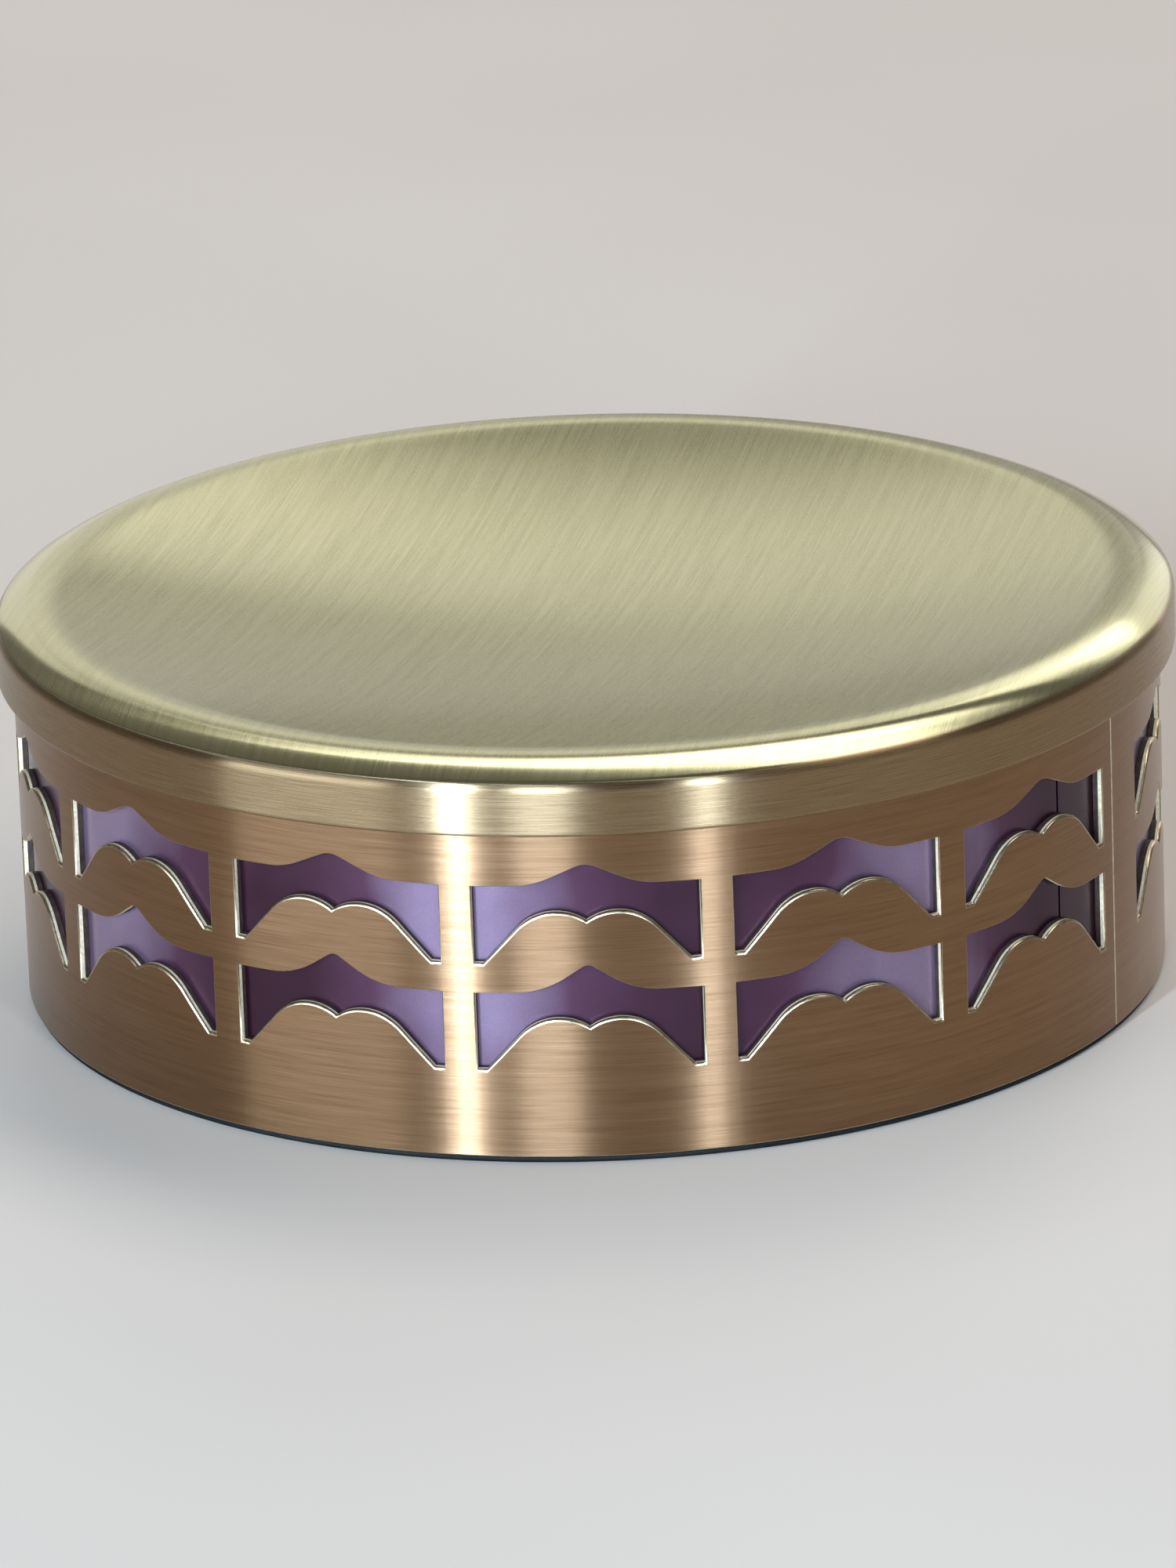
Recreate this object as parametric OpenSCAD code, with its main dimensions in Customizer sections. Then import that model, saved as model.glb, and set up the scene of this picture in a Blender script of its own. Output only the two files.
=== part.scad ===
// Round soap dish: a pressed tray that lifts off a pierced, lined band with a rubber foot.
// Origin: centre of the foot on the table. +Z is up, and -Y is the front.

/* [Overall] */
// Outer radius of the pierced band
band_r = 64; // [60:0.5:70]
// Height of the crest of the tray above the table
crest_z = 45.6; // [44:0.1:50]

/* [Tray] */
// Thickness of the pressed sheet
tray_t = 1.2; // [0.8:0.1:1.3]
// How far the skirt stands out from the band's face, thickness included
skirt_proud = 1.8; // [1.6:0.1:2.4]
// Height of the skirt's lower edge above the table
skirt_z = 38; // [37:0.1:39.5]
// Radius of the soft crown along the rim
crown_r = 9; // [7:0.5:12]
// Slope of the rim where the crown turns into the tight corner, in degrees
crown_out_deg = 35; // [30:1:45]
// Radius of the tight corner above the skirt
corner_r = 1.6; // [1.5:0.1:2]
// Slope of the dish where it meets the crown, in degrees
dish_deg = 12.5; // [9:0.5:14]

/* [Band] */
// Thickness of the band's sheet
band_t = 1.2; // [0.8:0.1:1.5]
// Height of the band's upper edge above the table
band_top = 42; // [40:0.5:42]
// Angle of the butt seam, from the front towards +X, in degrees
band_seam_deg = 62.9; // [61.5:0.1:68]
// Width of the seam's groove
seam_w = 0.25; // [0.15:0.05:0.5]
// Depth of the seam's groove
seam_d = 0.6; // [0.3:0.1:0.7]

/* [Openings] */
// Number of cells around the band, each with two openings
cells = 14; // [8:1:14]
// Angle from one cell to the next, in degrees
pitch_deg = 25.34; // [25:0.01:25.5]
// Angle of the first cell's centre, from the front towards +X, in degrees
first_cell_deg = -0.9; // [-5:0.1:5]
// Width of a plain rib between two cells
rib_w = 3.6; // [3:0.1:5]
// Height of the lower row's bottom corners above the table
row_z = 10.8; // [9:0.1:11]
// Height from one row to the next
row_step = 12.1; // [11.8:0.1:12.5]
// Width of the flat toe at each bottom corner
toe_w = 1.1; // [0.5:0.1:1.5]
// Height of the humps above the bottom corners
hump_h = 5.85; // [5.5:0.05:6]
// Distance of each hump from the cell's centre line
hump_x = 3.3; // [3:0.1:3.6]
// Radius of the humps
hump_r = 5.7; // [5:0.1:5.8]
// Height of the opening's top above its bottom corners, at the lobes
flat_h = 8.8; // [8.6:0.1:9.1]
// How far the top falls from a lobe to the side
flat_fall = 0.1; // [0:0.05:0.5]
// Radius of the two lobes that hang beside the peak
lobe_r = 10; // [8:0.5:10]
// Distance of each lobe's lowest point from the centre line
lobe_x = 8; // [7.8:0.1:8.5]
// Height of the lower row's unrounded peak above the lobes
low_peak = 3.25; // [3:0.05:3.6]
// Rounding of the lower row's peak
low_peak_r = 1; // [0.6:0.1:1.4]
// Height of the upper row's unrounded peak above the lobes
high_peak = 2.6; // [2.4:0.1:3]
// Rounding of the upper row's peak
high_peak_r = 2.5; // [1.5:0.1:3]

/* [Liner and wall] */
// Thickness of the coloured liner
liner_t = 0.6; // [0.4:0.1:0.8]
// Angle of the liner's seam, from the front towards +X, in degrees
liner_seam_deg = 53.8; // [50:0.1:58]
// Width of the gap at the liner's seam
liner_gap = 0.35; // [0.2:0.05:0.6]
// Thickness of the wall that carries the tray
wall_t = 1; // [0.8:0.1:1.5]
// Height of the wall's upper edge above the table
wall_top = 42.4; // [41:0.1:42.4]

/* [Seat ring] */
// Thickness of the soft ring above the wall's edge
seat_h = 1.5; // [0.8:0.1:1.5]
// Depth of the ring's leg, down the inside of the wall
seat_leg = 2.4; // [1.5:0.1:4]
// Thickness of the ring's leg
seat_leg_t = 0.9; // [0.6:0.1:1.5]

/* [Base] */
// Thickness of the rubber foot under the band
foot_h = 0.8; // [0.6:0.1:1.2]
// Width of the rubber foot
foot_w = 7; // [6:0.5:10]
// How far the foot stands back from the band's face
foot_back = 0.3; // [0.2:0.1:0.8]
// Thickness of the base plate's sheet
plate_t = 1; // [0.8:0.1:1.5]
// Height of the base plate's turned-up flange
flange_h = 8; // [5:0.5:12]
// How far the middle of the base plate is pressed up
plate_rise = 2; // [1:0.1:3]
// Radius of the stiffening bead in the base plate
bead_ring_r = 30; // [20:1:40]
// Radius of the bead's own section
bead_r = 2.4; // [2:0.1:3]

/* [Hidden] */
$fn = 96;
// Gap between two sheets that lie against each other
sheet_gap = 0.05;
// Overlap that keeps a cut clear of the face it leaves through
over = 1;

// Tray section: the dish, the crown and the corner are tangent circles.
skirt_r = band_r + skirt_proud;
corner_x = skirt_r - corner_r;
crown_x = corner_x - (crown_r - corner_r) * sin(crown_out_deg);
crown_z = crest_z - crown_r;
corner_z = crown_z + (crown_r - corner_r) * cos(crown_out_deg);
dish_r = crown_x / sin(dish_deg) - crown_r;
dish_z = crown_z + (dish_r + crown_r) * cos(dish_deg);

// Nested sheets, from the outside in
liner_r = band_r - band_t - sheet_gap;
wall_r = liner_r - liner_t - sheet_gap;
flange_r = wall_r - wall_t - sheet_gap;
foot_r = band_r - foot_back;

// Openings
rib_deg = rib_w / band_r * 180 / PI;
half_open = band_r * sin((pitch_deg - rib_deg) / 2);
// Cells are counted from the one at the front. The last one is beside the seam rib.
last_cell = 2;
first_cell = last_cell - cells + 1;
// The cuts start this far from the axis, behind the band's inner face across the whole opening.
cut_from = sqrt((band_r - band_t) ^ 2 - half_open ^ 2) - over;

// Height of the wall's lower edge, which stands on the foot
wall_z = foot_h;
// Grip grooves under the foot: how many, their depth and width, and the distance between them
grooves = 2;
groove_d = 0.3;
groove_w = 0.8;
groove_step = 2;
// Chamfer on the seat ring's upper edges
seat_chamfer = 0.5;
// Pressed step of the base plate: its gap from the foot, how far it runs inwards, and how far
// its upper face is shifted outwards to keep the sheet's thickness on the slope
step_gap = 1;
step_run = 2;
step_shift = 0.4;

function polar(centre, radius, deg) = centre + radius * [cos(deg), sin(deg)];

// Points along an arc, without its first one
function arc(centre, radius, from_deg, to_deg, steps) =
    [for (i = [1 : steps]) polar(centre, radius, from_deg + (to_deg - from_deg) * i / steps)];

function reversed(points) = [for (i = [len(points) - 1 : -1 : 0]) points[i]];

// Direction from a circle's centre to where the tangent from p touches it
function tangent_deg(p, centre, radius) =
    let (line = p - centre)
    atan2(line[1], line[0]) + acos(radius / norm(line));

// Upper face of the tray from its middle to the skirt's lower edge, moved inwards by inset
function tray_face(inset) =
    concat(
        [[0, dish_z - dish_r - inset]],
        arc([0, dish_z], dish_r + inset, -90, dish_deg - 90, 16),
        arc([crown_x, crown_z], crown_r - inset, 90 + dish_deg, 90 - crown_out_deg, 8),
        arc([corner_x, corner_z], corner_r - inset, 90 - crown_out_deg, 0, 5),
        [[skirt_r - inset, skirt_z]]
    );

module soap_tray() {
    color([0.70, 0.66, 0.47])
    rotate_extrude($fn = 180)
    polygon(concat(tray_face(tray_t), reversed(tray_face(0))));
}

// Soft ring on the upper edge of the wall, with a leg down its inside
module seat_ring() {
    inner = flange_r - seat_leg_t;
    low = wall_top - seat_leg;
    top = wall_top + seat_h;
    shoulder = top - seat_chamfer;
    color([0.12, 0.12, 0.13])
    rotate_extrude()
    polygon([[inner, low], [flange_r, low], [flange_r, wall_top], [wall_r, wall_top],
             [wall_r, shoulder], [wall_r - seat_chamfer, top], [inner + seat_chamfer, top],
             [inner, shoulder]]);
}

// Right half of one opening on the flat: the notch, a hump, the toe, the side, the top,
// a lobe and the rounded peak
function half_opening(peak_h, peak_r) =
    let (
        toe = [half_open - toe_w, 0],
        hump = [hump_x, hump_h - hump_r],
        notch_deg = acos(-hump_x / hump_r),
        apex = [0, flat_h + peak_h],
        lobe = [lobe_x, flat_h + lobe_r],
        lobe_end_deg = tangent_deg(apex, lobe, lobe_r),
        flank_deg = lobe_end_deg + 90,
        cap = [0, apex[1] - peak_r / cos(flank_deg)]
    )
    concat(
        [polar(hump, hump_r, notch_deg)],
        arc(hump, hump_r, notch_deg, tangent_deg(toe, hump, hump_r), 8),
        [toe, [half_open, 0], [half_open, flat_h - flat_fall], [lobe_x, flat_h]],
        arc(lobe, lobe_r, -90, lobe_end_deg, 4),
        [polar(cap, peak_r, 90 + flank_deg)],
        arc(cap, peak_r, 90 + flank_deg, 90, 3)
    );

// The half outline and its mirror image, which share their first and last points
module opening(peak_h, peak_r) {
    half = half_opening(peak_h, peak_r);
    polygon(concat(half, [for (i = [len(half) - 2 : -1 : 1]) [-half[i][0], half[i][1]]]));
}

// Both openings of one cell, standing in the band's sheet at the front
module cell_cut() {
    translate([0, -cut_from, 0])
    rotate([90, 0, 0])
    linear_extrude(band_r + over - cut_from) {
        translate([0, row_z]) opening(low_peak, low_peak_r);
        translate([0, row_z + row_step]) opening(high_peak, high_peak_r);
    }
}

module tube(outer, thickness, low, high) {
    translate([0, 0, low])
    difference() {
        cylinder(r = outer, h = high - low);
        translate([0, 0, -over]) cylinder(r = outer - thickness, h = high - low + 2 * over);
    }
}

module pierced_band() {
    color([0.68, 0.57, 0.43])
    difference() {
        tube(band_r, band_t, wall_z, band_top);
        for (k = [first_cell : last_cell]) rotate(first_cell_deg + k * pitch_deg) cell_cut();
        rotate(band_seam_deg)
        translate([-seam_w / 2, -band_r - over, 0])
        cube([seam_w, over + seam_d, band_top + over]);
    }
}

module liner_sleeve() {
    color([0.50, 0.44, 0.66])
    difference() {
        tube(liner_r, liner_t, wall_z, band_top);
        rotate(liner_seam_deg)
        translate([-liner_gap / 2, -liner_r - over, 0])
        cube([liner_gap, liner_t + 2 * over, band_top + over]);
    }
}

module inner_wall() {
    color([0.62, 0.62, 0.64]) tube(wall_r, wall_t, wall_z, wall_top);
}

// Pressed plate with a flange up the wall, a raised middle and a round bead
module base_plate() {
    step_r = foot_r - foot_w - step_gap;
    low = wall_z + plate_t;
    high = wall_z + plate_rise;
    color([0.66, 0.66, 0.68])
    rotate_extrude()
    difference() {
        union() {
            polygon([[0, high], [step_r - step_run, high], [step_r, wall_z], [flange_r, wall_z],
                     [flange_r, wall_z + flange_h], [flange_r - plate_t, wall_z + flange_h],
                     [flange_r - plate_t, low], [step_r + step_shift, low],
                     [step_r - step_run + step_shift, high + plate_t], [0, high + plate_t]]);
            translate([bead_ring_r, high]) circle(r = bead_r);
        }
        translate([bead_ring_r, high]) circle(r = bead_r - plate_t);
        translate([bead_ring_r - bead_r - over, high - 2 * bead_r])
        square([2 * (bead_r + over), 2 * bead_r]);
    }
}

// Flat rubber ring under the wall's edges, with grip grooves below and a rounded outer edge
module foot_ring() {
    edge = foot_h / 2;
    inner = foot_r - foot_w;
    color([0.06, 0.06, 0.06])
    rotate_extrude()
    difference() {
        union() {
            translate([inner, 0]) square([foot_w - edge, foot_h]);
            translate([foot_r - edge, edge]) circle(r = edge);
        }
        for (k = [1 : grooves])
            translate([inner + k * groove_step, -over])
            square([groove_w, over + groove_d]);
    }
}

soap_tray();
seat_ring();
pierced_band();
liner_sleeve();
inner_wall();
base_plate();
foot_ring();
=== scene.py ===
"""Looks of the round pierced-band soap dish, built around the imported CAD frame.

The lengths in the constants, and those that the mesh helpers take, are millimetres, as in the CAD
source. Everything Blender gets is in metres, and so are the studio's numbers. Angles round the dish
run from the front (-Y) towards +X.
"""

import math

import bmesh
import bpy
from mathutils import Matrix, Vector


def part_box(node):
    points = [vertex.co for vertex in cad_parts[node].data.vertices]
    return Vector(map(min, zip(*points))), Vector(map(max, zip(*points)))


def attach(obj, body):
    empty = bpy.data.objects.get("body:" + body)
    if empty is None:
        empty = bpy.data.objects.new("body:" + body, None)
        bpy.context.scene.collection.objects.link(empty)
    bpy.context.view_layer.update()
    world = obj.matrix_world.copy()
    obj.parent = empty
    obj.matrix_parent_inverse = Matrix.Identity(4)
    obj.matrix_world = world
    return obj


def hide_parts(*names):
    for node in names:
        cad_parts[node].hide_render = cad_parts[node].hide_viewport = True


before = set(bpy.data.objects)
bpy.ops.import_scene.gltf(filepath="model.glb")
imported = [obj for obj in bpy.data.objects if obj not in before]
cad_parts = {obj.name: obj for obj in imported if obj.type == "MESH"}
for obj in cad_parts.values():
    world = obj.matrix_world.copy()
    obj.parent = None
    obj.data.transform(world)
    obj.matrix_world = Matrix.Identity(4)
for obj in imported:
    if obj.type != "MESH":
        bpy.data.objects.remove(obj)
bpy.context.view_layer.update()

MM = 0.001

# Driving sizes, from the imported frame
band_low, band_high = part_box("pierced_band")
tray_low, tray_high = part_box("soap_tray")


def in_mm(value):
    """A frame length in millimetres, rounded to the CAD's own step."""
    return round(value / MM, 1)


BAND_R = in_mm(band_high.x)
BAND_BOTTOM = in_mm(band_low.z)
BAND_TOP = in_mm(band_high.z)
SKIRT_Z = in_mm(tray_low.z)
CREST_Z = in_mm(tray_high.z)

# Sheet thicknesses and clearances
TRAY_T = 1.2
BAND_T = 1.2
LINER_T = 0.6
SHEET_GAP = 0.05

# Tray section: three tangent circles, then a straight skirt with a rounded hem
SKIRT_PROUD = 1.8
SKIRT_R = BAND_R + SKIRT_PROUD
CROWN_R = 9.0
CROWN_OUT = math.radians(35)
CORNER_R = 1.6
DISH_SLOPE = math.radians(12.5)
HEM_R = 0.35
# Flat strip kept at both ends of the skirt, so that smooth shading does not bend across it
SKIRT_FLAT = 0.12

# Openings
CELLS = 14
PITCH = math.radians(25.34)
FIRST_CELL = math.radians(-0.9)
CELLS_AFTER_FIRST = 2
RIB_W = 3.6
ROW_Z = 10.8
ROW_STEP = 12.1
TOE_W = 1.1
HUMP_H = 5.85
HUMP_X = 3.3
HUMP_R = 5.7
FLAT_H = 8.8
FLAT_FALL = 0.1
LOBE_R = 10.0
LOBE_X = 8.0
# Height of the unrounded peak above the lobes, and its rounding
LOW_PEAK = (3.25, 1.0)
HIGH_PEAK = (2.6, 2.5)

# Seams
BAND_SEAM = math.radians(62.9)
SEAM_W = 0.25
SEAM_D = 0.6
LINER_SEAM = math.radians(53.8)
LINER_GAP = 0.35

# Depth of the pale outer part of a cut's wall. The rest of the depth is dark with painted shade.
CUT_PALE = 0.6
# Rounding of an opening's lower edge, and the shares of it that the other outer edges get: one for
# the openings' sides, the band's own edges and the seam, and one for the openings' upper edges
CUT_ROUND = 0.3
SIDE_SHARE = 0.4
UPPER_SHARE = 0.15

# Painted reflection on the liner's lacquer, as light and dark bands: waves once round, the angle of one
# pale crest, and its strength
REFLECTION_WAVES = 8
REFLECTION_CREST = math.radians(-13)
REFLECTION_STRENGTH = 0.38

# Direction of the straight brushing on the tray's upper face, from +X
BRUSH_DIR = math.radians(75)
# How much smoother the tray's crown is than its dish and skirt
CROWN_POLISH = 0.09


# ---------------------------------------------------------------- mesh helpers


def polar(centre, radius, angle):
    return (centre[0] + radius * math.cos(angle), centre[1] + radius * math.sin(angle))


def arc(centre, radius, start, end, steps):
    """Points along an arc, both ends included."""
    return [polar(centre, radius, start + (end - start) * i / steps) for i in range(steps + 1)]


def round_place(radius, angle, height):
    """A point on a circle round the axis, in metres."""
    return Vector((radius * math.sin(angle), -radius * math.cos(angle), height)) * MM


def new_object(name, mesh_builder):
    mesh = bpy.data.meshes.new(name)
    bm = bmesh.new()
    mesh_builder(bm)
    bmesh.ops.recalc_face_normals(bm, faces=bm.faces)
    bm.to_mesh(mesh)
    bm.free()
    piece = bpy.data.objects.new(name, mesh)
    bpy.context.scene.collection.objects.link(piece)
    return piece


def lathe_with_slit(name, section, slit_angle, slit_width, steps):
    """Turns a closed section, a list of (radius, height), round the axis, but for a slit."""
    def build(bm):
        half = slit_width / 2 / max(radius for radius, _ in section)
        sweep = 2 * math.pi - 2 * half
        rings = []
        for i in range(steps + 1):
            angle = slit_angle + half + sweep * i / steps
            rings.append([bm.verts.new(round_place(r, angle, z)) for r, z in section])
        size = len(section)
        for a, b in zip(rings, rings[1:]):
            for k in range(size):
                bm.faces.new((a[k], a[(k + 1) % size], b[(k + 1) % size], b[k]))
        bm.faces.new(rings[0])
        bm.faces.new(rings[-1])

    return new_object(name, build)


def lathe_to_axis(name, section, steps):
    """Turns an open section that starts and ends on the axis, as a pressed disc does."""
    def build(bm):
        first = bm.verts.new((0, 0, section[0][1] * MM))
        last = bm.verts.new((0, 0, section[-1][1] * MM))
        inner = section[1:-1]
        rings = []
        for i in range(steps):
            angle = 2 * math.pi * i / steps
            rings.append([bm.verts.new(round_place(r, angle, z)) for r, z in inner])
        for i in range(steps):
            a = rings[i]
            b = rings[(i + 1) % steps]
            bm.faces.new((first, a[0], b[0]))
            bm.faces.new((last, b[-1], a[-1]))
            for k in range(len(inner) - 1):
                bm.faces.new((a[k], a[k + 1], b[k + 1], b[k]))

    return new_object(name, build)


def smooth(piece, angle_deg):
    """Shades the piece smooth, but for edges sharper than the angle."""
    for face in piece.data.polygons:
        face.use_smooth = True
    piece.data.set_sharp_from_angle(angle=math.radians(angle_deg))


def round_edges(piece, width, segments, material):
    """Rounds the edges that carry a bevel weight. material is the slot the rounded strips get."""
    mod = piece.modifiers.new("rounded_edges", "BEVEL")
    mod.width = width * MM
    mod.segments = segments
    mod.limit_method = "WEIGHT"
    mod.use_clamp_overlap = False
    mod.material = material


# ------------------------------------------------------------ material helpers


class Nodes:
    """Short calls for building one material's node tree."""

    def __init__(self, name):
        self.material = bpy.data.materials.new(name)
        self.material.use_nodes = True
        self.tree = self.material.node_tree
        self.shader = self.tree.nodes["Principled BSDF"]

    def link(self, source, target):
        self.tree.links.new(source, target)

    def fill(self, socket, value):
        """Links a node's output to a socket, or sets the socket to a constant."""
        if isinstance(value, bpy.types.NodeSocket):
            self.link(value, socket)
        else:
            socket.default_value = value

    def shade(self, **values):
        """Fills the shader's sockets, named with _ for a space."""
        for key, value in values.items():
            self.fill(self.shader.inputs[key.replace("_", " ")], value)

    def node(self, kind, **settings):
        made = self.tree.nodes.new(kind)
        for key, value in settings.items():
            setattr(made, key, value)
        return made

    def math(self, operation, a, b):
        made = self.node("ShaderNodeMath", operation=operation)
        self.fill(made.inputs[0], a)
        self.fill(made.inputs[1], b)
        return made.outputs[0]

    def cosine(self, angle):
        made = self.node("ShaderNodeMath", operation="COSINE")
        self.link(angle, made.inputs[0])
        return made.outputs[0]

    def cross(self, a, b):
        made = self.node("ShaderNodeVectorMath", operation="CROSS_PRODUCT")
        self.fill(made.inputs[0], a)
        self.fill(made.inputs[1], b)
        return made.outputs[0]

    def dot(self, a, b):
        made = self.node("ShaderNodeVectorMath", operation="DOT_PRODUCT")
        self.fill(made.inputs[0], a)
        self.fill(made.inputs[1], b)
        return made.outputs["Value"]

    def unit(self, vector):
        made = self.node("ShaderNodeVectorMath", operation="NORMALIZE")
        self.link(vector, made.inputs[0])
        return made.outputs[0]

    def combine(self, x, y, z):
        made = self.node("ShaderNodeCombineXYZ")
        for socket, value in zip(made.inputs, (x, y, z)):
            self.fill(socket, value)
        return made.outputs[0]

    def separate(self, vector):
        made = self.node("ShaderNodeSeparateXYZ")
        self.link(vector, made.inputs[0])
        return made.outputs

    def position(self):
        """The point in the object's own space, in metres."""
        return self.node("ShaderNodeTexCoord").outputs["Object"]

    def noise(self, vector, scale, detail):
        made = self.node("ShaderNodeTexNoise")
        self.link(vector, made.inputs["Vector"])
        made.inputs["Scale"].default_value = scale
        made.inputs["Detail"].default_value = detail
        return made.outputs["Fac"]

    def ramp(self, factor, *stops):
        """Each stop is (place, colour)."""
        made = self.node("ShaderNodeValToRGB")
        elements = made.color_ramp.elements
        while len(elements) < len(stops):
            elements.new(0.5)
        for element, (place, colour) in zip(elements, stops):
            element.position = place
            element.color = (*colour, 1)
        self.link(factor, made.inputs["Fac"])
        return made.outputs["Color"]

    def spread(self, factor, low, high):
        """Maps 0..1 to low..high."""
        made = self.node("ShaderNodeMapRange")
        self.link(factor, made.inputs["Value"])
        made.inputs["To Min"].default_value = low
        made.inputs["To Max"].default_value = high
        return made.outputs[0]

    def step(self, value, start, end):
        """Rises smoothly from 0 to 1 between start and end."""
        made = self.node("ShaderNodeMapRange", interpolation_type="SMOOTHSTEP")
        self.link(value, made.inputs["Value"])
        made.inputs["From Min"].default_value = start
        made.inputs["From Max"].default_value = end
        return made.outputs[0]

    def bump(self, height, strength, distance):
        """distance is in millimetres."""
        made = self.node("ShaderNodeBump")
        made.inputs["Strength"].default_value = strength
        made.inputs["Distance"].default_value = distance * MM
        self.link(height, made.inputs["Height"])
        return made.outputs["Normal"]

    def weighted(self, a, b, share):
        """share of a, and the rest of b."""
        return self.math("ADD", self.math("MULTIPLY", a, share), self.math("MULTIPLY", b, 1 - share))

    def tinted(self, factor, colour, tint):
        """Multiplies a colour by a tint, as far as factor says."""
        made = self.node("ShaderNodeMix", data_type="RGBA", blend_type="MULTIPLY")
        made.inputs[0].default_value = factor
        self.link(colour, made.inputs[6])
        self.link(tint, made.inputs[7])
        return made.outputs[2]

    def mix_value(self, factor, a, b):
        made = self.node("ShaderNodeMix")
        for socket, value in zip((made.inputs[0], made.inputs[2], made.inputs[3]), (factor, a, b)):
            self.link(value, socket)
        return made.outputs[0]

    def mix_colour(self, factor, a, b):
        made = self.node("ShaderNodeMix", data_type="RGBA")
        for socket, value in zip((made.inputs[0], made.inputs[6], made.inputs[7]), (factor, a, b)):
            self.link(value, socket)
        return made.outputs[2]

    def mix_vector(self, factor, a, b):
        made = self.node("ShaderNodeMix", data_type="VECTOR")
        for socket, value in zip((made.inputs[0], made.inputs[4], made.inputs[5]), (factor, a, b)):
            self.link(value, socket)
        return made.outputs[1]


def brushed_round(nodes, place, stretch, scale, detail):
    """Noise drawn out round the dish, with its break at the band's seam.

    stretch is its change along the brushing, as a share of its change across.
    """
    x, y, height = nodes.separate(place)
    past_seam = nodes.math(
        "ADD",
        nodes.math("MULTIPLY", x, math.cos(BAND_SEAM)),
        nodes.math("MULTIPLY", y, math.sin(BAND_SEAM)),
    )
    towards_seam = nodes.math(
        "ADD",
        nodes.math("MULTIPLY", x, math.sin(BAND_SEAM)),
        nodes.math("MULTIPLY", y, -math.cos(BAND_SEAM)),
    )
    angle = nodes.math("ARCTAN2", past_seam, nodes.math("MULTIPLY", towards_seam, -1.0))
    length = nodes.math("MULTIPLY", angle, BAND_R * MM)
    return nodes.noise(nodes.combine(nodes.math("MULTIPLY", length, stretch), 0.0, height), scale, detail)


def brushed_straight(nodes, place, stretch, scale, detail):
    """Noise drawn out along the tray's straight brushing. stretch is as in brushed_round."""
    run = nodes.dot(place, (math.cos(BRUSH_DIR), math.sin(BRUSH_DIR), 0.0))
    side = nodes.dot(place, (-math.sin(BRUSH_DIR), math.cos(BRUSH_DIR), 0.0))
    return nodes.noise(nodes.combine(nodes.math("MULTIPLY", run, stretch), side, 0.0), scale, detail)


# ------------------------------------------------------------------- materials


def band_brass():
    """Bronze-gold brass brushed round the band."""
    nodes = Nodes("band_brass_brushed")
    place = nodes.position()
    fine = brushed_round(nodes, place, 0.016, 9000, 3)
    broad = brushed_round(nodes, place, 0.03, 1600, 2)
    patina = nodes.noise(place, 45, 3)
    streaks = nodes.weighted(fine, broad, 0.6)
    colour = nodes.ramp(streaks, (0.25, (0.185, 0.10, 0.048)), (0.75, (0.33, 0.20, 0.112)))
    tint = nodes.ramp(patina, (0.3, (0.90, 0.86, 0.80)), (0.7, (1.0, 1.0, 1.0)))
    nodes.shade(
        Base_Color=nodes.tinted(0.6, colour, tint),
        Roughness=nodes.spread(streaks, 0.21, 0.29),
        Normal=nodes.bump(streaks, 0.4, 0.02),
        Tangent=nodes.combine(0.0, 0.0, 1.0),
        Metallic=1.0,
        Anisotropic=1.0,
    )
    return nodes.material


def grained_metal(name, scale, dark, light, rough, bump, metallic):
    """Metal of a cut's wall or edge. rough is the range of its roughness, bump its grain's strength."""
    nodes = Nodes(name)
    grain = nodes.noise(nodes.position(), scale, 3)
    nodes.shade(
        Base_Color=nodes.ramp(grain, (0.3, dark), (0.7, light)),
        Roughness=nodes.spread(grain, *rough),
        Normal=nodes.bump(grain, bump, 0.02),
        Metallic=metallic,
    )
    return nodes.material


def cut_wall():
    """Pale, fairly matt metal in the depth of a cut."""
    return grained_metal(
        "cut_wall_pale", 2500, (0.66, 0.52, 0.34), (0.88, 0.73, 0.51), (0.42, 0.55), 0.2, 0.4
    )


def cut_shade():
    """Painted shade: dark colour in the depth of a cut, behind its pale part."""
    return grained_metal(
        "cut_depth_painted_shade", 1200, (0.035, 0.020, 0.014), (0.07, 0.042, 0.028), (0.55, 0.7), 0.2, 0.5
    )


def cut_round():
    """Polished rounding along the outer edge of a cut."""
    return grained_metal(
        "cut_edge_polished", 1500, (0.40, 0.31, 0.19), (0.54, 0.44, 0.29), (0.24, 0.34), 0.1, 1.0
    )


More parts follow.
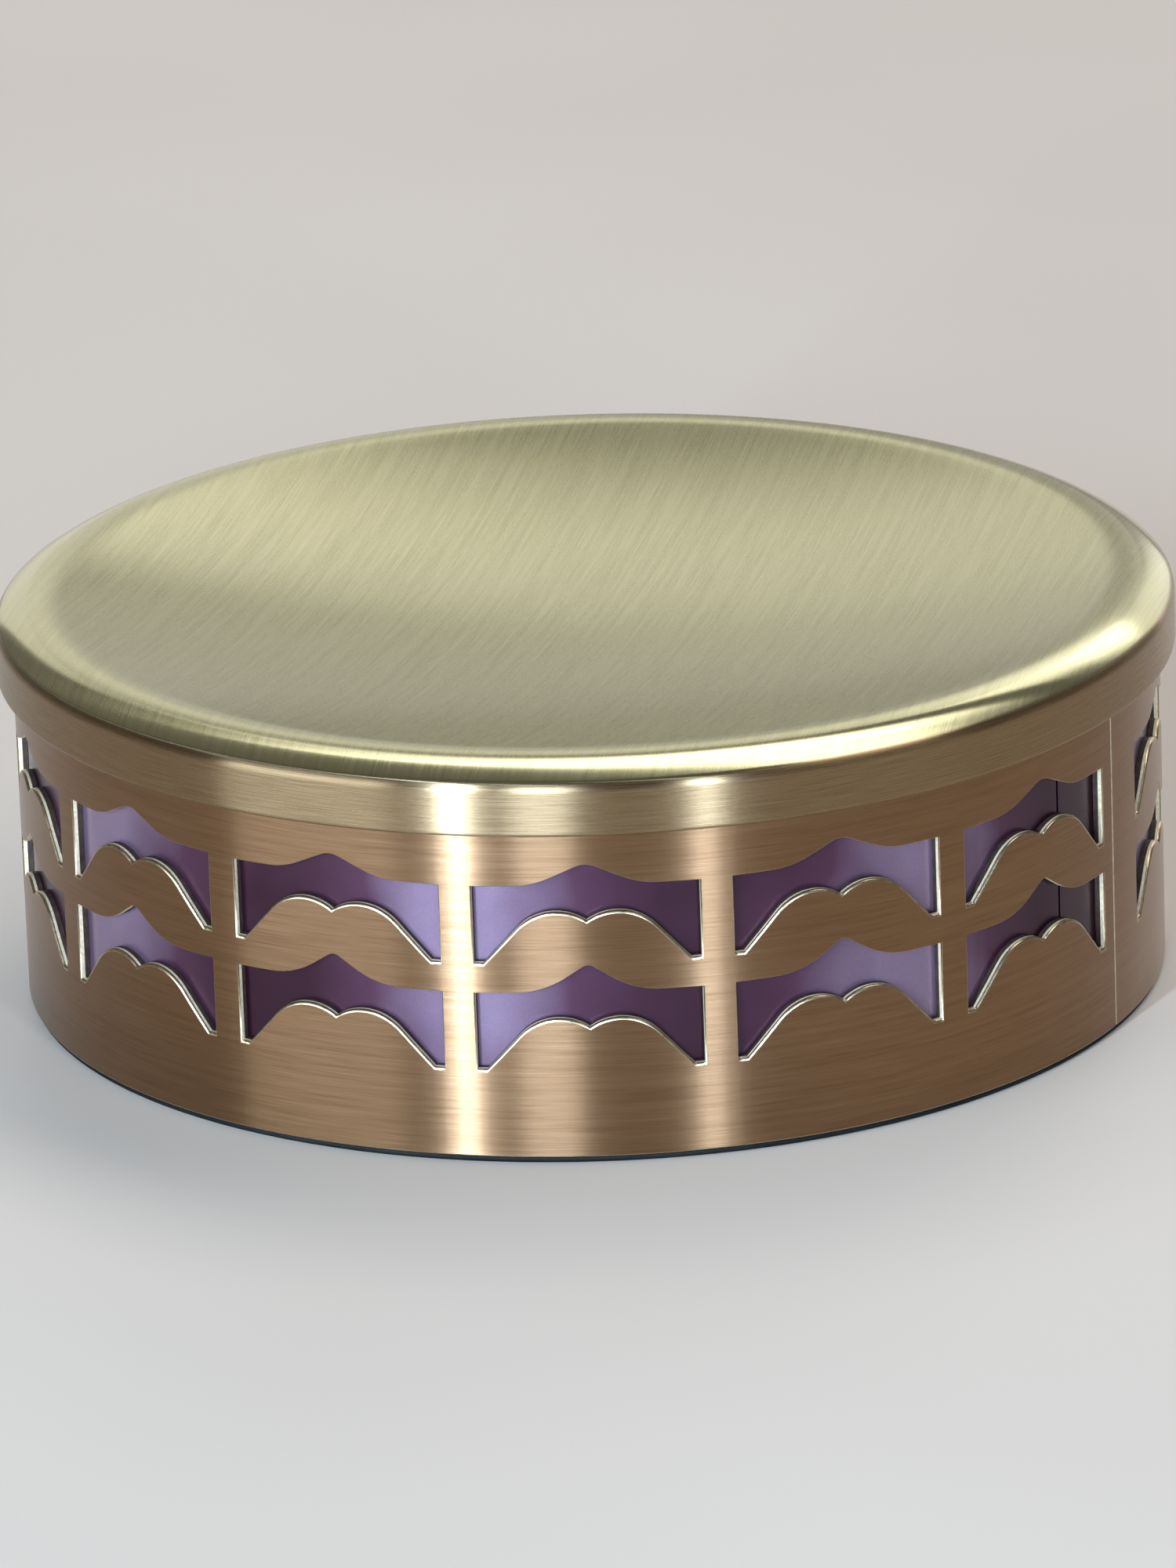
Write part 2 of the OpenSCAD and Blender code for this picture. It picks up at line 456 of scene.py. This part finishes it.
def tray_brass():
    """Olive-gold brass: straight brushing on the upper face, brushing round the skirt.

    Two masks follow the slope of the face: top is 1 on the dish and the crown, and dish is 1 on the
    dish alone. What is left between them is the crown, which is polished smoother.
    """
    nodes = Nodes("tray_brass_brushed")
    place = nodes.position()
    straight = nodes.weighted(
        brushed_straight(nodes, place, 0.012, 7000, 3),
        brushed_straight(nodes, place, 0.03, 1200, 2),
        0.6,
    )
    normal = nodes.node("ShaderNodeNewGeometry").outputs["Normal"]
    upwards = nodes.separate(normal)[2]
    top = nodes.step(upwards, 0.55, 0.88)
    dish = nodes.step(upwards, 0.962, 0.978)
    crown = nodes.math("SUBTRACT", top, dish)
    streaks = nodes.mix_value(top, brushed_round(nodes, place, 0.016, 9000, 3), straight)
    top_colour = nodes.ramp(streaks, (0.25, (0.46, 0.43, 0.235)), (0.75, (0.62, 0.585, 0.36)))
    # One brass, two base colours by slope: the skirt's darker, browner tone is painted reflection
    side_painted_reflection = nodes.ramp(streaks, (0.25, (0.215, 0.14, 0.068)), (0.75, (0.355, 0.245, 0.14)))
    polish = nodes.math("MULTIPLY", crown, -CROWN_POLISH)
    down = nodes.unit(nodes.cross(normal, nodes.cross((0, 0, 1), place)))
    across = nodes.cross(normal, (math.cos(BRUSH_DIR), math.sin(BRUSH_DIR), 0.0))
    nodes.shade(
        Base_Color=nodes.mix_colour(top, side_painted_reflection, top_colour),
        Roughness=nodes.math("ADD", nodes.spread(streaks, 0.24, 0.31), polish),
        Normal=nodes.bump(streaks, 0.35, 0.02),
        Tangent=nodes.mix_vector(top, down, across),
        Metallic=1.0,
        Anisotropic=1.0,
    )
    return nodes.material


def lilac_lacquer():
    """Satin pearl lacquer, with painted reflections as bands from lavender to plum round the liner, and a
    random tone.
    """
    nodes = Nodes("lilac_lacquer")
    place = nodes.position()
    x, y, _ = nodes.separate(place)
    angle = nodes.math("ARCTAN2", x, nodes.math("MULTIPLY", y, -1.0))
    turned = nodes.math("ADD", angle, -REFLECTION_CREST)
    # Painted reflection: bands of light and dark tone round the liner, with random tone from the cloud
    # added
    painted_reflection = nodes.cosine(nodes.math("MULTIPLY", turned, REFLECTION_WAVES))
    cloud = nodes.noise(place, 40, 3)
    reflection_and_tone = nodes.math("ADD", nodes.math("MULTIPLY", painted_reflection, REFLECTION_STRENGTH), cloud)
    pearl = nodes.noise(place, 5200, 2)
    plum = (0.028, 0.003, 0.014)
    mauve = (0.073, 0.024, 0.051)
    lavender = (0.215, 0.145, 0.215)
    colour = nodes.ramp(reflection_and_tone, (0.20, plum), (0.54, mauve), (0.86, lavender))
    fleck = nodes.ramp(pearl, (0.35, (0.86, 0.84, 0.90)), (0.65, (1.0, 1.0, 1.0)))
    nodes.shade(
        Base_Color=nodes.tinted(0.7, colour, fleck),
        Roughness=nodes.spread(pearl, 0.26, 0.34),
        Normal=nodes.bump(pearl, 0.05, 0.01),
        Metallic=0.65,
        Coat_Weight=0.2,
        Coat_Roughness=0.25,
    )
    return nodes.material


def plain_steel():
    """Rolled steel sheet with a fine grain round the part."""
    nodes = Nodes("rolled_steel")
    place = nodes.position()
    grain = brushed_round(nodes, place, 0.05, 5000, 3)
    blot = nodes.noise(place, 80, 3)
    colour = nodes.ramp(grain, (0.3, (0.42, 0.42, 0.43)), (0.7, (0.56, 0.56, 0.57)))
    tint = nodes.ramp(blot, (0.3, (0.85, 0.85, 0.86)), (0.7, (1.0, 1.0, 1.0)))
    nodes.shade(
        Base_Color=nodes.tinted(0.6, colour, tint),
        Roughness=nodes.spread(grain, 0.32, 0.48),
        Normal=nodes.bump(grain, 0.15, 0.02),
        Metallic=1.0,
    )
    return nodes.material


def rubber(name, dark, light):
    """Matt rubber with a fine grain and a trace of dust."""
    nodes = Nodes(name)
    place = nodes.position()
    grain = nodes.noise(place, 1800, 4)
    dust = nodes.noise(place, 120, 3)
    nodes.shade(
        Base_Color=nodes.ramp(dust, (0.35, dark), (0.75, light)),
        Roughness=nodes.spread(grain, 0.55, 0.80),
        Normal=nodes.bump(grain, 0.3, 0.04),
        Specular_IOR_Level=0.2,
    )
    return nodes.material


def pale_paint():
    """Even, pale floor covering."""
    nodes = Nodes("pale_floor")
    cloud = nodes.noise(nodes.position(), 6, 2)
    nodes.shade(
        Base_Color=nodes.ramp(cloud, (0.3, (0.60, 0.52, 0.45)), (0.7, (0.64, 0.56, 0.485))),
        Roughness=0.55,
    )
    return nodes.material


# ------------------------------------------------------------------ the pieces


def tray_face(inset):
    """Upper face of the tray from its middle to the skirt's top, moved inwards by inset."""
    corner_x = SKIRT_R - CORNER_R
    crown_x = corner_x - (CROWN_R - CORNER_R) * math.sin(CROWN_OUT)
    crown_z = CREST_Z - CROWN_R
    corner_z = crown_z + (CROWN_R - CORNER_R) * math.cos(CROWN_OUT)
    dish_r = crown_x / math.sin(DISH_SLOPE) - CROWN_R
    dish_z = crown_z + (dish_r + CROWN_R) * math.cos(DISH_SLOPE)
    quarter = math.pi / 2
    dish = arc((0, dish_z), dish_r + inset, -quarter, DISH_SLOPE - quarter, 40)
    crown = arc((crown_x, crown_z), CROWN_R - inset, quarter + DISH_SLOPE, quarter - CROWN_OUT, 16)
    corner = arc((corner_x, corner_z), CORNER_R - inset, quarter - CROWN_OUT, 0, 10)
    return dish + crown[1:] + corner[1:]


def make_tray():
    """Pressed sheet turned round the axis: its upper face, the rounded hem and its lower face."""
    outer = tray_face(0)
    inner = tray_face(TRAY_T)
    hem_z = SKIRT_Z + HEM_R
    skirt = [(SKIRT_R, outer[-1][1] - SKIRT_FLAT), (SKIRT_R, hem_z + SKIRT_FLAT)]
    hem = arc((SKIRT_R - HEM_R, hem_z), HEM_R, 0, -math.pi / 2, 4)
    inner_hem = arc((SKIRT_R - TRAY_T + HEM_R, hem_z), HEM_R, -math.pi / 2, -math.pi, 4)
    piece = lathe_to_axis("tray_shell", outer + skirt + hem + inner_hem + inner[::-1], 320)
    smooth(piece, 60)
    piece.data.materials.append(tray_brass())
    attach(piece, "tray")
    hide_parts("soap_tray")


def tangent_angle(point, centre, radius):
    """Direction from a circle's centre to where the tangent from point touches it."""
    dx = point[0] - centre[0]
    dz = point[1] - centre[1]
    return math.atan2(dz, dx) + math.acos(radius / math.hypot(dx, dz))


class Opening:
    """Outline of one opening on the flat, as heights above its bottom corners.

    Below: a flat toe, a straight flank and a hump on each side of the centre line. Above: a lobe
    on each side, which hangs down beside a straight-sided peak with a rounded tip.
    """

    def __init__(self, half_open, peak):
        self.half_open = half_open
        self.peak_h, self.peak_r = peak
        self.toe = half_open - TOE_W
        self.hump = (HUMP_X, HUMP_H - HUMP_R)
        self.flank = polar(self.hump, HUMP_R, tangent_angle((self.toe, 0), self.hump, HUMP_R))
        self.apex = FLAT_H + self.peak_h
        self.lobe = (LOBE_X, FLAT_H + LOBE_R)
        lobe_end = tangent_angle((0, self.apex), self.lobe, LOBE_R)
        self.lobe_end = polar(self.lobe, LOBE_R, lobe_end)
        slope = lobe_end + math.pi / 2
        self.cap = (0, self.apex - self.peak_r / math.cos(slope))
        self.cap_end = polar(self.cap, self.peak_r, math.pi / 2 + slope)

    def low(self, x):
        x = abs(x)
        if x <= self.flank[0]:
            return self.hump[1] + math.sqrt(HUMP_R ** 2 - (x - self.hump[0]) ** 2)
        return max(0, self.flank[1] * (self.toe - x) / (self.toe - self.flank[0]))

    def high(self, x):
        x = abs(x)
        if x >= LOBE_X:
            return FLAT_H - FLAT_FALL * (x - LOBE_X) / (self.half_open - LOBE_X)
        if x >= self.lobe_end[0]:
            return self.lobe[1] - math.sqrt(LOBE_R ** 2 - (x - LOBE_X) ** 2)
        if x >= abs(self.cap_end[0]):
            return self.apex + (self.lobe_end[1] - self.apex) * x / self.lobe_end[0]
        return self.cap[1] + math.sqrt(self.peak_r ** 2 - x ** 2)


def opening_places(half_open):
    """Distances from a cell's centre line at which its columns stand, one of them at each toe."""
    steps = 28
    nearest = 0.2
    toe = half_open - TOE_W
    right = [half_open * i / steps for i in range(steps + 1)]
    right = [x for x in right if abs(x - toe) > nearest] + [toe]
    right.sort()
    return [-x for x in right[:0:-1]] + right


def band_columns():
    """Columns of the band once round from the seam: (angle, depth, heights, open to the next).

    depth is how far the outer face is sunk, which only the bottom of the seam's groove is.
    """
    rib = RIB_W / BAND_R
    half_angle = (PITCH - rib) / 2
    half_open = BAND_R * math.sin(half_angle)
    places = opening_places(half_open)
    rows = [(ROW_Z, Opening(half_open, LOW_PEAK)), (ROW_Z + ROW_STEP, Opening(half_open, HIGH_PEAK))]

    def heights(x):
        levels = [BAND_BOTTOM]
        for base, opening in rows:
            levels += [base + opening.low(x), base + opening.high(x)]
        return levels + [BAND_TOP]

    plain = heights(half_open)
    columns = []

    def rib_columns(start, end):
        """Plain columns between two cells, one near each opening and one in the middle."""
        for part in (0.3, 0.5, 0.7):
            columns.append((start + (end - start) * part, 0, plain, False))

    first = CELLS_AFTER_FIRST - CELLS + 1
    half_groove = SEAM_W / 2 / BAND_R
    start = BAND_SEAM - 2 * math.pi
    columns.append((start, SEAM_D, plain, False))
    previous = start + half_groove
    columns.append((previous, 0, plain, False))
    for k in range(first, CELLS_AFTER_FIRST + 1):
        centre = FIRST_CELL + k * PITCH
        rib_columns(previous, centre - half_angle)
        for x in places:
            angle = centre + math.asin(x / BAND_R)
            columns.append((angle, 0, heights(x), x < half_open))
        previous = centre + half_angle
    rib_columns(previous, BAND_SEAM - half_groove)
    columns.append((BAND_SEAM - half_groove, 0, plain, False))
    return columns


def build_band(bm):
    """The pierced sheet as quads between its columns, with the wall of every cut."""
    # Material slots, in the order in which make_band fills them
    wall_slot = 1
    shade_slot = 2
    columns = band_columns()
    count = len(columns)
    last_level = len(columns[0][2]) - 1
    open_levels = (1, 3)
    outer = []
    middle = []
    inner = []
    for angle, depth, heights, _ in columns:
        outer.append([bm.verts.new(round_place(BAND_R - depth, angle, z)) for z in heights])
        middle.append([round_place(BAND_R - CUT_PALE, angle, z) for z in heights])
        inner.append([bm.verts.new(round_place(BAND_R - BAND_T, angle, z)) for z in heights])
    halfway = {}
    weights = bm.edges.layers.float.new("bevel_weight_edge")

    def cut_face(a, b, weight):
        """Wall of a cut between two outer corners: a pale outer part and a dark inner one of painted
        shade.
        """
        for i, level in (a, b):
            if (i, level) not in halfway:
                halfway[i, level] = bm.verts.new(middle[i][level])
        front = [outer[i][level] for i, level in (a, b)]
        back = [inner[i][level] for i, level in (b, a)]
        pale = bm.faces.new((*front, halfway[b], halfway[a]))
        pale.material_index = wall_slot
        dark = bm.faces.new((halfway[a], halfway[b], *back))
        dark.material_index = shade_slot
        bm.edges.get(front)[weights] = weight

    for i in range(count):
        j = (i + 1) % count
        is_open = columns[i][3]
        was_open = columns[i - 1][3]
        for k in range(last_level):
            if k in open_levels and is_open != was_open:
                cut_face((i, k), (i, k + 1), SIDE_SHARE)
            if k in open_levels and is_open:
                cut_face((i, k), (j, k), 1)
                cut_face((i, k + 1), (j, k + 1), UPPER_SHARE)
                continue
            bm.faces.new((outer[i][k], outer[j][k], outer[j][k + 1], outer[i][k + 1]))
            bm.faces.new((inner[i][k], inner[j][k], inner[j][k + 1], inner[i][k + 1]))
        cut_face((i, 0), (j, 0), SIDE_SHARE)
        cut_face((i, last_level), (j, last_level), SIDE_SHARE)
    # One side of the seam's groove is rounded too, so the seam shows as a fine light line
    for low, high in zip(outer[1], outer[1][1:]):
        bm.edges.get((low, high))[weights] = SIDE_SHARE


def make_band():
    """The pierced sheet, with its cuts' outer edges rounded."""
    piece = new_object("band_shell", build_band)
    smooth(piece, 30)
    for material in (band_brass(), cut_wall(), cut_shade(), cut_round()):
        piece.data.materials.append(material)
    round_slot = len(piece.data.materials) - 1
    round_edges(piece, CUT_ROUND, 3, round_slot)
    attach(piece, "dish_body")
    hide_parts("pierced_band")


def make_liner():
    """Thin sheet rolled up behind the band, with an open seam."""
    outer = BAND_R - BAND_T - SHEET_GAP
    inner = outer - LINER_T
    section = [(inner, BAND_BOTTOM), (outer, BAND_BOTTOM), (outer, BAND_TOP), (inner, BAND_TOP)]
    piece = lathe_with_slit("liner_shell", section, LINER_SEAM, LINER_GAP, 320)
    smooth(piece, 30)
    piece.data.materials.append(lilac_lacquer())
    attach(piece, "dish_body")
    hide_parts("liner_sleeve")


def finish_cad_nodes():
    """Better materials on the CAD nodes whose shape is already right."""
    steel = plain_steel()
    looks = {
        "inner_wall": steel,
        "base_plate": steel,
        "seat_ring": rubber("seat_rubber_grain", (0.02, 0.02, 0.022), (0.045, 0.045, 0.05)),
        "foot_ring": rubber("foot_rubber_grain", (0.002, 0.002, 0.002), (0.008, 0.0075, 0.007)),
    }
    for name, material in looks.items():
        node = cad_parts[name]
        node.data.materials.clear()
        node.data.materials.append(material)


# ----------------------------------------------------------- floor and studio


def make_floor():
    """A plain pale floor."""
    def build(bm):
        half = 3.0
        corners = [(-half, -half), (half, -half), (half, half), (-half, half)]
        bm.faces.new([bm.verts.new((x, y, 0)) for x, y in corners])

    floor = new_object("floor", build)
    floor.data.materials.append(pale_paint())


def area_light(name, place, target, size, power, colour):
    data = bpy.data.lights.new(name, "AREA")
    data.shape = "RECTANGLE"
    data.size, data.size_y = size
    data.energy = power
    data.color = colour
    light = bpy.data.objects.new(name, data)
    light.location = place
    light.rotation_euler = (Vector(target) - Vector(place)).to_track_quat("-Z", "Y").to_euler()
    bpy.context.scene.collection.objects.link(light)


def softbox(name, azimuth_deg, distance, low, high, width, radiance, colour):
    """Upright panel that faces the dish. azimuth_deg runs from the front towards +X."""
    azimuth = math.radians(azimuth_deg)
    middle = (low + high) / 2
    place = (distance * math.sin(azimuth), -distance * math.cos(azimuth), middle)
    size = (width, high - low)
    power = radiance * math.pi * size[0] * size[1]
    area_light(name, place, (0, 0, middle), size, power, colour)


def make_studio():
    """The back panels show in the tray and its rim, and the left, front and right ones in the band.

    Those of the band are cool, which calms the brass and draws out the lilac.
    """
    white = (1, 1, 1)
    cool = (0.66, 0.83, 1.0)
    cold = (0.56, 0.76, 1.0)
    area_light("overhead", (0.35, 0.3, 1.1), (0, 0, 0), (1.7, 0.45), 7.8, white)
    # Name, azimuth, distance, lower edge, upper edge, width, radiance and colour
    panels = [
        ("back_left_panel", 192, 1.2, 0.0, 0.8, 0.5, 0.78, white),
        ("back_right_panel", 168, 1.2, 0.0, 0.5, 0.5, 0.15, white),
        ("back_high_panel", 158, 1.2, 0.60, 1.1, 0.5, 2.0, white),
        ("crown_panel", 151, 1.2, 1.4, 1.9, 0.5, 2.4, white),
        ("rim_panel", 152, 1.2, 0.05, 0.85, 0.50, 1.1, white),
        ("left_panel", -55, 1.4, 0.0, 0.7, 0.85, 6.6, cool),
        ("left_strip", -25.8, 1.4, 0.0, 0.9, 0.05, 215, cold),
        ("front_panel", -9.5, 1.5, 0.0, 0.7, 0.28, 24, cold),
        ("right_strip", 21, 1.4, 0.0, 0.7, 0.11, 43, cold),
    ]
    for panel in panels:
        softbox(*panel)
    world = bpy.data.worlds.new("soft_room")
    bpy.context.scene.world = world
    world.use_nodes = True
    background = world.node_tree.nodes["Background"]
    background.inputs["Color"].default_value = (1.0, 0.97, 0.92, 1)
    background.inputs["Strength"].default_value = 0.16


def make_camera():
    """The photograph's view: a long lens, 19 degrees above the table, tilted by 2 degrees."""
    elevation = math.radians(18.99)
    roll = math.radians(-2.04)
    # Distance and aim, as multiples of the band's radius
    away = 20
    aim_right = -0.005
    aim_up = 0.312
    radius = BAND_R * MM
    up = Vector((0, math.sin(elevation), math.cos(elevation)))
    back = Vector((0, -math.cos(elevation), math.sin(elevation)))
    aim = Vector((1, 0, 0)) * aim_right * radius + up * aim_up * radius
    data = bpy.data.cameras.new("photo_view")
    data.sensor_width = 36
    data.lens = 260.6
    camera = bpy.data.objects.new("photo_view", data)
    camera.rotation_mode = "QUATERNION"
    camera.location = aim + back * (away * radius)
    look = (-back).to_track_quat("-Z", "Y")
    camera.rotation_quaternion = look @ Matrix.Rotation(roll, 3, "Z").to_quaternion()
    bpy.context.scene.collection.objects.link(camera)
    bpy.context.scene.camera = camera


make_camera()
make_tray()
make_band()
make_liner()
finish_cad_nodes()
make_floor()
make_studio()
bpy.context.scene.view_settings.view_transform = "Standard"
